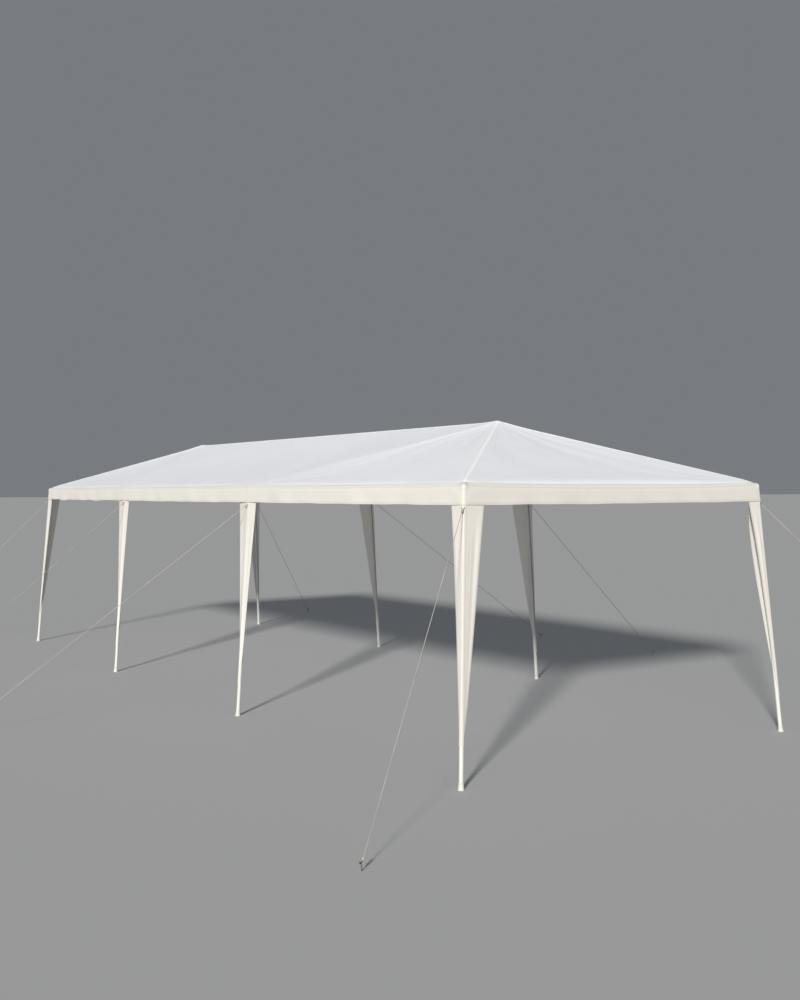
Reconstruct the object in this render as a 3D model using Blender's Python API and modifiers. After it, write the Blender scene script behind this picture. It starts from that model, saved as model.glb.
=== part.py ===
"""Party marquee of three bays: a hipped fabric roof on eight splayed legs, held by guy lines.

Metres, +Z up. The long side lies along X and the front faces -Y. The origin is on the ground at the middle.
"""

from math import atan, cos, pi, sin, sqrt

import bmesh
import bpy
from mathutils import Vector

# Cover outline
COVER_LENGTH = 9.0
COVER_WIDTH = 3.0
SIDE_BOW = 0.09  # how far the long eaves stand out at the side legs
FABRIC = 0.003
ROOF_SAG = 0.035
VALANCE_HEIGHT = 0.14

# Frame
EAVE_HEIGHT = 1.9735  # axis of the eave poles
PEAK_HEIGHT = 2.5015  # axis of the ridge pole
PEAK_INSET = 1.5  # from the cover's end to the peak
MIDDLE_BAY = 3.0  # between the two side legs of one long side
LEG_SPLAY = 0.1335  # how far each foot stands out from its joint
TUBE_RADIUS = 0.016
FOOT_RADIUS = 0.023
FOOT_NECK_RADIUS = 0.0195
FOOT_HEIGHT = 0.045
LEG_END_HEIGHT = 0.012  # where the tube ends inside its foot

# Joints
SOCKET_CLEARANCE = 0.0005
SOCKET_WALL = 0.002
SOCKET_LENGTH = 0.08  # from the joint's centre to the socket's mouth
SOCKET_FLOOR = 0.04  # from the joint's centre to the socket's floor
SLEEVE_ROOT = 0.005  # from the joint's centre to where each sleeve starts inside the hub
HUB_PROUD = 0.003  # how far the hub stands over its sleeves

# Leg drapes
DRAPE_REACH = 0.14  # each wing's width at the hem
DRAPE_WRAP = 0.0205  # each wing's width where it lies round the leg
DRAPE_NARROW = 0.55  # the height where the taper ends
DRAPE_BOTTOM = 0.25

# Guy lines
ROPE_RADIUS = 0.0025
GUY_DROP = 0.03  # from the hem down to the rope's top end
CORNER_GUY_ALONG = 1.13  # from a corner leg's top to its peg, away from the middle
CORNER_GUY_OUT = 1.52
SIDE_GUY_ALONG = -0.5  # from a side leg's top to its peg, towards the middle
SIDE_GUY_OUT = 2.35
PEG_RADIUS = 0.0035
PEG_HEIGHT = 0.055  # straight shaft above the ground
PEG_HOOK_RADIUS = 0.012
PEG_TIP = 0.012
PEG_TIE_HEIGHT = 0.035

# Clearance between pieces that touch
GAP = 0.0003

# How finely round and sagging shapes are divided
TUBE_RESOLUTION = 4
ROPE_RESOLUTION = 2
FOOT_SIDES = 16
HUB_SEGMENTS = 12
HUB_RINGS = 6
FACET_COLUMNS = 6
FACET_ROWS = 4
HOOK_STEPS = 6
WELD = 0.00001
SHARP_ANGLE = pi / 6

# Sizes that follow
SOCKET_RADIUS = TUBE_RADIUS + SOCKET_CLEARANCE
SLEEVE_RADIUS = SOCKET_RADIUS + SOCKET_WALL
HUB_RADIUS = SLEEVE_RADIUS + HUB_PROUD
COVER_CLEARANCE = HUB_RADIUS + GAP  # from a leg's axis out to the valance's inner face
CORNER_X = COVER_LENGTH / 2 - COVER_CLEARANCE - FABRIC
CORNER_Y = COVER_WIDTH / 2 - COVER_CLEARANCE - FABRIC
PEAK_X = COVER_LENGTH / 2 - PEAK_INSET
ROOF_EDGE_HEIGHT = EAVE_HEIGHT + COVER_CLEARANCE
HEM_HEIGHT = ROOF_EDGE_HEIGHT - GAP - VALANCE_HEIGHT
ROOF_SLOPE = atan((PEAK_HEIGHT - EAVE_HEIGHT) / min(PEAK_INSET, COVER_WIDTH / 2))
RIDGE_FABRIC_HEIGHT = PEAK_HEIGHT + COVER_CLEARANCE / cos(ROOF_SLOPE)

# Legs: the side of the middle that each stands on, and whether it is at a corner
STATIONS = {
    "left": (-1, True),
    "mid_left": (-1, False),
    "mid_right": (1, False),
    "right": (1, True),
}
SIDES = {"front": -1, "back": 1}
ENDS = {"left": -1, "right": 1}
LEGS = [(side, station) for side in SIDES for station in STATIONS]

# Finishes: colour, roughness and metallic value
FINISHES = {
    "white_coated_steel": ((0.80, 0.80, 0.78), 0.4, 0.0),
    "grey_coated_joint": ((0.62, 0.63, 0.63), 0.4, 0.0),
    "roof_sheeting": ((0.72, 0.73, 0.78), 0.6, 0.0),
    "valance_sheeting": ((0.81, 0.78, 0.71), 0.6, 0.0),
    "drape_sheeting": ((0.84, 0.81, 0.75), 0.6, 0.0),
    "guy_rope": ((0.70, 0.69, 0.64), 0.8, 0.0),
}


def clear_scene():
    """Remove the objects that the file opened with."""
    for thing in list(bpy.data.objects):
        bpy.data.objects.remove(thing)


def make_material(name):
    """A plain material of one finish."""
    colour, roughness, metallic = FINISHES[name]
    material = bpy.data.materials.new(name)
    material.use_nodes = True
    shader = material.node_tree.nodes["Principled BSDF"]
    shader.inputs["Base Color"].default_value = (*colour, 1)
    shader.inputs["Roughness"].default_value = roughness
    shader.inputs["Metallic"].default_value = metallic
    return material


def add_object(name, data, finish):
    """An object in the marquee's collection, with its finish."""
    thing = bpy.data.objects.new(name, data)
    bpy.data.collections["marquee"].objects.link(thing)
    if finish not in bpy.data.materials:
        make_material(finish)
    data.materials.clear()
    data.materials.append(bpy.data.materials[finish])
    return thing


def add_tube(name, points, radius, resolution, finish):
    """A round bar with flat ends along a run of points."""
    curve = bpy.data.curves.new(name, "CURVE")
    curve.dimensions = "3D"
    curve.bevel_depth = radius
    curve.bevel_resolution = resolution
    curve.use_fill_caps = True
    spline = curve.splines.new("POLY")
    spline.points.add(len(points) - 1)
    for control, place in zip(spline.points, points):
        control.co = (*place, 1)
    return add_object(name, curve, finish)


def weld(mesh):
    """Merge the points that coincide, such as where a bar's caps meet its wall."""
    shape = bmesh.new()
    shape.from_mesh(mesh)
    bmesh.ops.remove_doubles(shape, verts=shape.verts, dist=WELD)
    shape.to_mesh(mesh)
    shape.free()


def tube_as_mesh(name, points, radius, resolution, finish):
    """The same bar as a closed mesh, ready to be joined or cut with."""
    tube = add_tube(name, points, radius, resolution, finish)
    graph = bpy.context.evaluated_depsgraph_get()
    mesh = bpy.data.meshes.new_from_object(tube.evaluated_get(graph))
    bpy.data.objects.remove(tube)
    weld(mesh)
    return add_object(name, mesh, finish)


def add_mesh(name, shape, finish):
    """An object from a shape that has been built up in bmesh."""
    mesh = bpy.data.meshes.new(name)
    shape.to_mesh(mesh)
    shape.free()
    return add_object(name, mesh, finish)


def combine(body, tool, operation):
    """Join the tool to the body, or cut it away, and remove the tool."""
    modifier = body.modifiers.new(operation.title(), "BOOLEAN")
    modifier.operation = operation
    modifier.solver = "EXACT"
    modifier.object = tool
    graph = bpy.context.evaluated_depsgraph_get()
    mesh = bpy.data.meshes.new_from_object(body.evaluated_get(graph))
    body.modifiers.clear()
    weld(mesh)
    body.data = mesh
    bpy.data.objects.remove(tool)


def shade_round(thing):
    """Smooth shading that keeps the sharp edges."""
    thing.data.shade_smooth()
    thing.data.set_sharp_from_angle(angle=SHARP_ANGLE)


def leg_top(side, station):
    """The centre of the eave joint over one leg."""
    direction, at_corner = STATIONS[station]
    along = CORNER_X if at_corner else MIDDLE_BAY / 2
    out = CORNER_Y if at_corner else CORNER_Y + SIDE_BOW
    return Vector((direction * along, SIDES[side] * out, EAVE_HEIGHT))


def outward(side, station):
    """The plan directions in which a leg leans: both at a corner, else across only."""
    direction, at_corner = STATIONS[station]
    return Vector((direction if at_corner else 0, SIDES[side], 0))


def leg_axis(side, station, height):
    """The point at one height on the axis of a leg."""
    lean = outward(side, station) * LEG_SPLAY * (1 - height / EAVE_HEIGHT)
    point = leg_top(side, station) + lean
    point.z = height
    return point


def peak(end):
    """The centre of the peak joint at one end."""
    return Vector((ENDS[end] * PEAK_X, 0, PEAK_HEIGHT))


def nearest_peak(station):
    """The peak that a leg's rafter rises to."""
    return peak("left" if STATIONS[station][0] < 0 else "right")


def eave_runs():
    """Each eave pole's name and the two legs that it joins, in turn round the tent."""
    stations = list(STATIONS)
    runs = []
    for side in SIDES:
        for name, first, second in zip(("left", "middle", "right"), stations, stations[1:]):
            runs.append((f"eave_{side}_{name}", (side, first), (side, second)))
    for end in ENDS:
        runs.append((f"eave_{end}_end", ("front", end), ("back", end)))
    return runs


def add_pole(name, start, end):
    """A straight pole between two joints, its ends on their socket floors."""
    run = (end - start).normalized() * (SOCKET_FLOOR + GAP)
    add_tube(name, [start + run, end - run], TUBE_RADIUS, TUBE_RESOLUTION, "white_coated_steel")


def add_joint(name, centre, targets):
    """A hub with one bored sleeve towards each neighbour."""
    shape = bmesh.new()
    bmesh.ops.create_uvsphere(shape, u_segments=HUB_SEGMENTS, v_segments=HUB_RINGS, radius=HUB_RADIUS)
    bmesh.ops.translate(shape, verts=shape.verts, vec=centre)
    joint = add_mesh(name, shape, "grey_coated_joint")
    directions = [(target - centre).normalized() for target in targets]
    for direction in directions:
        ends = [centre + direction * SLEEVE_ROOT, centre + direction * SOCKET_LENGTH]
        sleeve = tube_as_mesh("sleeve", ends, SLEEVE_RADIUS, TUBE_RESOLUTION, "grey_coated_joint")
        combine(joint, sleeve, "UNION")
    for direction in directions:
        ends = [centre + direction * SOCKET_FLOOR, centre + direction * (SOCKET_LENGTH + SOCKET_WALL)]
        bore = tube_as_mesh("bore", ends, SOCKET_RADIUS, TUBE_RESOLUTION, "grey_coated_joint")
        combine(joint, bore, "DIFFERENCE")
    shade_round(joint)


def add_frame():
    """Eave poles, rafters, ridge pole and all the joints between them."""
    neighbours = {leg: [leg_axis(*leg, 0), nearest_peak(leg[1])] for leg in LEGS}
    for name, first, second in eave_runs():
        add_pole(name, leg_top(*first), leg_top(*second))
        neighbours[first].append(leg_top(*second))
        neighbours[second].append(leg_top(*first))
    for side, station in LEGS:
        top = leg_top(side, station)
        add_pole(f"rafter_{side}_{station}", top, nearest_peak(station))
        add_joint(f"joint_{side}_{station}", top, neighbours[side, station])
    add_pole("ridge_pole", peak("left"), peak("right"))
    for end, direction in ENDS.items():
        landings = [leg_top(*leg) for leg in LEGS if STATIONS[leg[1]][0] == direction]
        add_joint(f"peak_joint_{end}", peak(end), [*landings, peak("left" if direction > 0 else "right")])


def add_leg(side, station):
    """A leaning tube whose lower end stands in a flared foot with a flat sole."""
    top = leg_top(side, station)
    foot = leg_axis(side, station, 0)
    run = (foot - top).normalized() * (SOCKET_FLOOR + GAP)
    ends = [top + run, leg_axis(side, station, LEG_END_HEIGHT)]
    leg = tube_as_mesh(f"leg_{side}_{station}", ends, TUBE_RADIUS, TUBE_RESOLUTION, "white_coated_steel")
    shape = bmesh.new()
    bmesh.ops.create_cone(
        shape,
        cap_ends=True,
        segments=FOOT_SIDES,
        radius1=FOOT_RADIUS,
        radius2=FOOT_NECK_RADIUS,
        depth=FOOT_HEIGHT,
    )
    middle = leg_axis(side, station, FOOT_HEIGHT / 2)
    bmesh.ops.translate(shape, verts=shape.verts, vec=middle)
    combine(leg, add_mesh("foot", shape, "white_coated_steel"), "UNION")
    shade_round(leg)


def solidify_outward(thing):
    """Give a sheet its thickness on the side that its faces point to."""
    modifier = thing.modifiers.new("Fabric", "SOLIDIFY")
    modifier.thickness = FABRIC
    modifier.offset = 1
    modifier.use_even_offset = True


def turn_faces(shape, direction):
    """Point a sheet's faces to the side of the given direction."""
    shape.normal_update()
    if sum(face.normal.dot(direction) for face in shape.faces) < 0:
        bmesh.ops.reverse_faces(shape, faces=shape.faces)


def arch(share):
    """One at the middle of a span and nothing at its ends."""
    return 4 * share * (1 - share)


def add_facet(shape, eave_start, eave_end, top_start, top_end):
    """A roof facet from its eave up to a ridge or a peak, sagging between its supports."""
    grid = bmesh.ops.create_grid(shape, x_segments=FACET_COLUMNS, y_segments=FACET_ROWS, size=1)
    for vert in grid["verts"]:
        u = (vert.co.x + 1) / 2
        v = (vert.co.y + 1) / 2
        place = eave_start.lerp(eave_end, u).lerp(top_start.lerp(top_end, u), v)
        place.z -= ROOF_SAG * arch(u) * arch(v)
        vert.co = place


def roof_corner(side, station):
    """The underside of the roof's edge over one leg."""
    point = leg_top(side, station) + outward(side, station) * (COVER_CLEARANCE + FABRIC)
    point.z = ROOF_EDGE_HEIGHT
    return point


def add_roof_panel(name, eave, tops, away):
    """A sewn panel of the roof, set off from its neighbours by the clearance."""
    shape = bmesh.new()
    for start, end, top_start, top_end in zip(eave, eave[1:], tops, tops[1:]):
        add_facet(shape, start, end, top_start, top_end)
    bmesh.ops.remove_doubles(shape, verts=shape.verts, dist=WELD)
    turn_faces(shape, Vector((0, 0, 1)))
    bmesh.ops.translate(shape, verts=shape.verts, vec=away * GAP)
    panel = add_mesh(name, shape, "roof_sheeting")
    solidify_outward(panel)
    panel.data.shade_smooth()


def add_roof():
    """Front and back panels of three facets each, and a triangular panel at each end."""
    left = Vector((-PEAK_X, 0, RIDGE_FABRIC_HEIGHT))
    right = Vector((PEAK_X, 0, RIDGE_FABRIC_HEIGHT))
    for side, across in SIDES.items():
        eave = [roof_corner(side, station) for station in STATIONS]
        add_roof_panel(f"roof_{side}_panel", eave, [left, left, right, right], Vector((0, across, 0)))
    for end, direction in ENDS.items():
        eave = [roof_corner(side, end) for side in SIDES]
        top = left if direction < 0 else right
        add_roof_panel(f"roof_{end}_panel", eave, [top, top], Vector((direction, 0, 0)))


def add_sheet(name, lines, face_towards, finish):
    """A flat or folded hanging sheet through level lines of points, from its top down."""
    shape = bmesh.new()
    columns = len(lines[0]) - 1
    rows = len(lines) - 1
    grid = bmesh.ops.create_grid(shape, x_segments=columns, y_segments=rows, size=1)
    for vert in grid["verts"]:
        column = round((vert.co.x + 1) / 2 * columns)
        row = round((1 - vert.co.y) / 2 * rows)
        vert.co = lines[row][column]
    turn_faces(shape, face_towards)
    sheet = add_mesh(name, shape, finish)
    solidify_outward(sheet)


def hang_point(side, station, height, clearance):
    """A point on the inner face of what hangs outside a leg."""
    return leg_axis(side, station, height) + outward(side, station) * clearance


def add_valance():
    """Four strips below the roof's edge: the long ones lap the ends of the short ones."""
    top = ROOF_EDGE_HEIGHT - GAP
    for side, across in SIDES.items():
        edges = []
        for height in (top, HEM_HEIGHT):
            edge = [hang_point(side, station, height, COVER_CLEARANCE) for station in STATIONS]
            edge[0].x -= FABRIC
            edge[-1].x += FABRIC
            edges.append(edge)
        add_sheet(f"valance_{side}", edges, Vector((0, across, 0)), "valance_sheeting")
    for end, direction in ENDS.items():
        edges = []
        for height in (top, HEM_HEIGHT):
            edge = [hang_point(side, end, height, COVER_CLEARANCE) for side in SIDES]
            for point, across in zip(edge, SIDES.values()):
                point.y -= across * GAP
            edges.append(edge)
        add_sheet(f"valance_{end}", edges, Vector((direction, 0, 0)), "valance_sheeting")


def add_drape(side, station):
    """A tapered curtain on the outer side of a leg, folded round it at a corner."""
    direction, at_corner = STATIONS[station]
    first = Vector((-direction, 0, 0))
    second = Vector((0, -SIDES[side], 0)) if at_corner else Vector((direction, 0, 0))
    cut = ((HEM_HEIGHT - GAP, DRAPE_REACH), (DRAPE_NARROW, DRAPE_WRAP), (DRAPE_BOTTOM, DRAPE_WRAP))
    lines = []
    for height, reach in cut:
        fold = hang_point(side, station, height, TUBE_RADIUS + GAP)
        lines.append([fold + first * reach, fold, fold + second * reach])
    add_sheet(f"drape_{side}_{station}", lines, outward(side, station), "drape_sheeting")


def peg_offset(side, station):
    """The plan offset from a leg's top to its ground peg."""
    direction, at_corner = STATIONS[station]
    along = CORNER_GUY_ALONG if at_corner else SIDE_GUY_ALONG
    out = CORNER_GUY_OUT if at_corner else SIDE_GUY_OUT
    return Vector((direction * along, SIDES[side] * out, 0))


def add_guy_line(side, station):
    """A taut rope from the leg's drape down to a hooked peg that stands on the ground."""
    offset = peg_offset(side, station)
    away = offset.normalized()
    ground = leg_top(side, station) + offset
    ground.z = 0
    tie = ground + Vector((0, 0, PEG_TIE_HEIGHT))
    leg_point = leg_axis(side, station, HEM_HEIGHT - GUY_DROP)
    slant = (tie - leg_point).normalized()
    end_reach = ROPE_RADIUS * sqrt(1 - slant.y**2)
    drape_face = TUBE_RADIUS + GAP + FABRIC
    top = leg_point + away * (drape_face + GAP + end_reach) / abs(away.y)
    name = f"guy_line_{side}_{station}"
    rope = tube_as_mesh(name, [top, tie], ROPE_RADIUS, ROPE_RESOLUTION, "guy_rope")
    shaft_top = ground + Vector((0, 0, PEG_HEIGHT))
    hook = [ground]
    for step in range(HOOK_STEPS + 1):
        turn = pi * step / HOOK_STEPS
        across = away * PEG_HOOK_RADIUS * (1 - cos(turn))
        hook.append(shaft_top + across + Vector((0, 0, PEG_HOOK_RADIUS * sin(turn))))
    hook.append(hook[-1] - Vector((0, 0, PEG_TIP)))
    peg = tube_as_mesh("peg", hook, PEG_RADIUS, ROPE_RESOLUTION, "guy_rope")
    combine(rope, peg, "UNION")
    shade_round(rope)


def main():
    clear_scene()
    collection = bpy.data.collections.new("marquee")
    bpy.context.scene.collection.children.link(collection)
    add_frame()
    add_roof()
    add_valance()
    for side, station in LEGS:
        add_leg(side, station)
        add_drape(side, station)
        add_guy_line(side, station)


main()
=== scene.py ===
"""Party marquee, 3 by 9 m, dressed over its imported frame.

One sewn roof sheet with bound seams, a hemmed valance, tapered leg drapes, tube legs in moulded boots,
twisted guy ropes and hooked pegs. Metres, +Z up, long side along X, front facing -Y.
"""

from math import cos, pi, radians, sin, sqrt

import bmesh
import bpy
import numpy as np
from mathutils import Matrix, Vector


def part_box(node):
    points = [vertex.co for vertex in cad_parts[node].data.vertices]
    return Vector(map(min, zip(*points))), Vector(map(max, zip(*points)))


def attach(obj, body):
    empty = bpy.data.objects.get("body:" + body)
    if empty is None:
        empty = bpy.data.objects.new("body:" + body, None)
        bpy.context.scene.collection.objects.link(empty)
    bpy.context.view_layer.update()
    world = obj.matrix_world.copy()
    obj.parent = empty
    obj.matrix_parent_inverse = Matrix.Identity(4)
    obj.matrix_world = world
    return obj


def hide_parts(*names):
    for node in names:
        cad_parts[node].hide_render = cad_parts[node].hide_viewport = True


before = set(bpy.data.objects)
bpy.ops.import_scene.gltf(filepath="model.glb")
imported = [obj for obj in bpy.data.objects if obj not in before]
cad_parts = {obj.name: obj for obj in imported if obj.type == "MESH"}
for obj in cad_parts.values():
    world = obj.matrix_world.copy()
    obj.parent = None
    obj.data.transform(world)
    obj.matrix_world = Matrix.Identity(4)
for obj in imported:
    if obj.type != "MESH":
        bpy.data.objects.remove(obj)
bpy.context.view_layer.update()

bl_info = {
    "name": "Party marquee",
    "version": (1, 0, 0),
    "blender": (4, 5, 0),
    "location": "3D View > Sidebar > Marquee",
    "description": "Dresses the packed frame of a three-bay party marquee",
    "category": "Object",
}

SIDES = {"front": -1, "back": 1}
ENDS = {"left": -1, "right": 1}
# Where a leg stands along its side: towards which end, and whether at a corner
STATIONS = {"left": (-1, True), "mid_left": (-1, False), "mid_right": (1, False), "right": (1, True)}
# Each leg's directions from the tent's middle, along and across, and whether it is at a corner
LEGS = {
    f"{side}_{station}": (along, across, at_corner)
    for side, across in SIDES.items() for station, (along, at_corner) in STATIONS.items()
}
# The legs in turn round the tent, seen from above
ROUND = list(LEGS)[:4] + list(LEGS)[:3:-1]
CORNERS = [index for index, leg in enumerate(ROUND) if LEGS[leg][2]]
STRIPS = {"front": (0, 1, 2), "right": (3,), "back": (4, 5, 6), "left": (7,)}

# The frame's own measures
SEAT = 0.0403  # from a joint's centre to where each pole ends inside it
TUBE = 0.016  # the radius of every pole and leg
SLEEVE = 0.0185  # the outer radius of a joint's sockets
HUB = 0.0215  # the radius of the ball at a joint's centre
SOCKET = 0.08  # from a joint's centre to its sockets' mouths
FOOT_RADIUS = 0.023
FOOT_HEIGHT = 0.045
HALF_SHEET = 0.0015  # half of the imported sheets' thickness


def middle(node):
    """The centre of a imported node's box."""
    low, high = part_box(node)
    return (low + high) / 2


EAVE = middle("eave_front_middle").z
SIDE_Y = abs(middle("eave_front_middle").y)
SIDE_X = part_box("eave_front_middle")[1].x + SEAT
CORNER_X = middle("eave_right_end").x
CORNER_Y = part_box("eave_right_end")[1].y + SEAT
PEAK_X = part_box("ridge_pole")[1].x + SEAT
PEAK = middle("ridge_pole").z
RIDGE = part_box("roof_front_panel")[1].z - HALF_SHEET
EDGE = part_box("roof_front_panel")[0].z + HALF_SHEET
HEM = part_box("valance_front")[0].z
DRAPE_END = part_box("drape_front_right")[0].z + 0.03
COVER_OUT = HUB + 0.0018  # from a leg's axis to the middle of the valance's cloth


def leg_top(leg):
    """The centre of the eave joint over one leg."""
    along, across, at_corner = LEGS[leg]
    x, y = (CORNER_X, CORNER_Y) if at_corner else (SIDE_X, SIDE_Y)
    return Vector((along * x, across * y, EAVE))


def outward(leg):
    """The plan directions in which a leg leans: both at a corner, else across only."""
    along, across, at_corner = LEGS[leg]
    return Vector((along * at_corner, across, 0))


# How far a leg's axis stands out at the ground from its joint
SPLAY = (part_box("leg_front_right")[1].x - FOOT_RADIUS - CORNER_X) * EAVE / (EAVE - FOOT_HEIGHT / 2)


def leg_axis(leg, height):
    """The point at one height on a leg's axis."""
    point = leg_top(leg) + outward(leg) * SPLAY * (1 - height / EAVE)
    point.z = height
    return point


def peak_over(way):
    """The peak on one side of the middle, to which the rafters there rise."""
    return Vector((way * PEAK_X, 0, PEAK))


# Colours, nodes and meshes


def srgb(code, alpha=1.0):
    """An sRGB hex colour as linear values."""
    shares = [int(code[i : i + 2], 16) / 255 for i in (1, 3, 5)]
    return (*[s / 12.92 if s <= 0.04045 else ((s + 0.055) / 1.055) ** 2.4 for s in shares], alpha)


def feed(tree, node, inputs):
    """Set each named input of a node to a value, or link it to another node's socket."""
    for key, value in inputs.items():
        if isinstance(value, bpy.types.NodeSocket):
            tree.links.new(value, node.inputs[key])
        else:
            node.inputs[key].default_value = value


def add_node(tree, kind, inputs=None, **settings):
    """A shader node with its settings, its inputs set or linked."""
    made = tree.nodes.new("ShaderNode" + kind)
    for name, value in settings.items():
        setattr(made, name, value)
    feed(tree, made, inputs or {})
    return made


def new_material(name, colour, roughness, **sockets):
    """A material with its shader, ready for its pattern."""
    material = bpy.data.materials.new(name)
    material.use_nodes = True
    tree = material.node_tree
    shader = tree.nodes["Principled BSDF"]
    feed(tree, shader, {"Base Color": srgb(colour), "Roughness": roughness})
    feed(tree, shader, {key.replace("_", " "): value for key, value in sockets.items()})
    return material, tree, shader


def deselect():
    """Nothing selected, so that an operator acts on the new piece alone."""
    if bpy.context.object and bpy.context.object.mode != "OBJECT":
        bpy.ops.object.mode_set(mode="OBJECT")
    bpy.ops.object.select_all(action="DESELECT")


def finish_piece(thing, material, replaced=()):
    """Give a piece its finish and its body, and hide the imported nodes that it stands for."""
    thing.data.materials.clear()
    thing.data.materials.append(bpy.data.materials[material])
    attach(thing, "root")
    if replaced:
        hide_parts(*replaced)
    return thing


def woven(name, patches, thickness=0.0, offset=0.0, crease=55):
    """A sheet from grids of points with their places on the flat cloth, sewn where the grids meet.

    Edges that turn by more than the crease angle, such as the cut ones, stay crisp.
    """
    verts, faces, flat = [], [], []
    start = 0
    for points, cloth in patches:
        rows, columns = points.shape[:2]
        ids = start + np.arange(rows * columns).reshape(rows, columns)
        quads = np.stack([ids[:-1, :-1], ids[:-1, 1:], ids[1:, 1:], ids[1:, :-1]], -1).reshape(-1, 4)
        verts.append(points.reshape(-1, 3))
        faces.append(quads)
        flat.append(cloth.reshape(-1, 2)[quads.ravel() - start])
        start += rows * columns
    mesh = bpy.data.meshes.new(name)
    mesh.from_pydata(np.concatenate(verts).tolist(), [], np.concatenate(faces).tolist())
    mesh.uv_layers.new(name="cloth").data.foreach_set("uv", np.concatenate(flat).ravel())
    shape = bmesh.new()
    shape.from_mesh(mesh)
    bmesh.ops.remove_doubles(shape, verts=shape.verts, dist=0.00002)
    bmesh.ops.dissolve_degenerate(shape, edges=shape.edges, dist=0.00002)
    shape.to_mesh(mesh)
    shape.free()
    mesh.shade_smooth()
    sheet = bpy.data.objects.new(name, mesh)
    bpy.context.scene.collection.objects.link(sheet)
    if thickness:
        wall = sheet.modifiers.new("Cloth", "SOLIDIFY")
        wall.thickness = thickness
        wall.offset = offset
        deselect()
        sheet.select_set(True)
        bpy.context.view_layer.objects.active = sheet
        bpy.ops.object.modifier_apply(modifier="Cloth")
        bpy.ops.object.shade_smooth_by_angle(angle=radians(crease))
    return sheet


def sewn(name, patches, thickness, look, slot, crease=55):
    """A strip of doubled cloth sewn on top of a sheet."""
    return finish_piece(woven(name, patches, thickness, 1, crease), look)


def lengths(points, axis=0):
    """Distance along each line of a grid of points, from its start."""
    steps = np.linalg.norm(np.diff(points, axis=axis), axis=-1)
    first = np.zeros_like(np.take(steps, [0], axis=axis))
    return np.concatenate([first, np.cumsum(steps, axis=axis)], axis=axis)


def sampled(lines, runs, places):
    """Points at places along each of some lines of points, whose running lengths are given."""
    places = np.broadcast_to(places, (len(lines), np.shape(places)[-1]))
    return np.array([
        [np.interp(spots, run, line[:, axis]) for axis in range(3)] for line, run, spots in zip(lines, runs, places)
    ]).swapaxes(1, 2)


def sampled_up(points, places):
    """Points at places up each column of a grid, measured from its first row."""
    return sampled(points.swapaxes(0, 1), lengths(points).T, places).swapaxes(0, 1)


def flat_grid(across, along):
    """The places on the flat cloth of a grid of points."""
    return np.stack(np.broadcast_arrays(across, along), -1)


def eased(share):
    """A share held between 0 and 1, gentle at both ends."""
    share = np.clip(share, 0, 1)
    return share * share * (3 - 2 * share)


def turned(name, profile, sides=20):
    """A round piece on the upright axis, drawn out step by step: each step is a radius and a height."""
    deselect()
    (radius, level), *steps = profile
    bpy.ops.mesh.primitive_circle_add(vertices=sides, radius=radius, fill_type="NGON", location=(0, 0, level))
    thing = bpy.context.object
    thing.name = thing.data.name = name
    bpy.ops.object.mode_set(mode="EDIT")
    bpy.ops.mesh.select_all(action="SELECT")
    for wider, higher in steps:
        bpy.ops.mesh.extrude_region_move(TRANSFORM_OT_translate={"value": (0, 0, higher - level)})
        bpy.ops.transform.resize(value=(wider / radius, wider / radius, 1), center_override=(0, 0, higher))
        radius, level = wider, higher
    finish_shape()
    return thing


def finish_shape(angle=35):
    """Close an edit: faces point outwards, rounds are smooth, and the object sits at the origin."""
    bpy.ops.mesh.select_all(action="SELECT")
    bpy.ops.mesh.normals_make_consistent(inside=False)
    bpy.ops.object.mode_set(mode="OBJECT")
    bpy.ops.object.transform_apply()
    bpy.ops.object.shade_smooth_by_angle(angle=radians(angle))


def placing(start, end):
    """The move that turns the upright axis to run from one point towards another."""
    way = (end - start).to_track_quat("Z", "Y")
    return Matrix.Translation(start) @ way.to_matrix().to_4x4()


def gathered(name, parts):
    """Copies of modelled pieces, each moved to its place, joined as one named piece with its own mesh."""
    deselect()
    for source, move in parts:
        thing = source.copy()
        thing.data = source.data.copy()
        thing.data.transform(move)
        bpy.context.scene.collection.objects.link(thing)
        thing.select_set(True)
        bpy.context.view_layer.objects.active = thing
    if len(parts) > 1:
        bpy.ops.object.join()
    thing = bpy.context.view_layer.objects.active
    thing.name = thing.data.name = name
    return thing


def drop(*sources):
    """Remove the modelled pieces that copies were taken from."""
    for source in sources:
        mesh = source.data
        bpy.data.objects.remove(source)
        bpy.data.meshes.remove(mesh)


def spring_button():
    """The dome of a spring button, standing out of a tube along the upright axis."""
    profile = [(0.0042, -0.001), (0.0042, 0.0016), (0.0034, 0.0028), (0.0015, 0.0034)]
    return turned("spring_button", [(radius, TUBE + level) for radius, level in profile], 12)


def tube(name, path, radius, sides=8, lobes=0, pitch=1.0):
    """A round bar, or a rope of twisted strands, along a run of points."""
    path = np.array(path, float)
    along = lengths(path)
    ahead = np.gradient(path, axis=0)
    ahead /= np.linalg.norm(ahead, axis=1)[:, None]
    side = np.cross(ahead[0], (0, 0, 1) if abs(ahead[0][2]) < 0.9 else (1, 0, 0))
    turns = np.linspace(0, 2 * pi, sides + 1)
    rings = []
    for spot, way, run in zip(path, ahead, along):
        side = side - way * side.dot(way)
        side /= np.linalg.norm(side)
        other = np.cross(way, side)
        reach = radius * (1 - 0.1 * (1 - np.cos(lobes * (turns - 2 * pi * run / pitch)))) if lobes else radius
        rings.append(spot + (np.cos(turns) * reach)[:, None] * side + (np.sin(turns) * reach)[:, None] * other)
    first, last = (np.repeat(path[i][None, None], sides + 1, 1) for i in (0, -1))
    rings = np.concatenate([first, np.array(rings), last])
    along = np.concatenate([along[:1], along, along[-1:]])
    return woven(name, [(rings, flat_grid(turns[None] * radius, along[:, None]))])


# The cover as one ring of points: rows from the hem up to the ridge, columns round the tent

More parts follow.
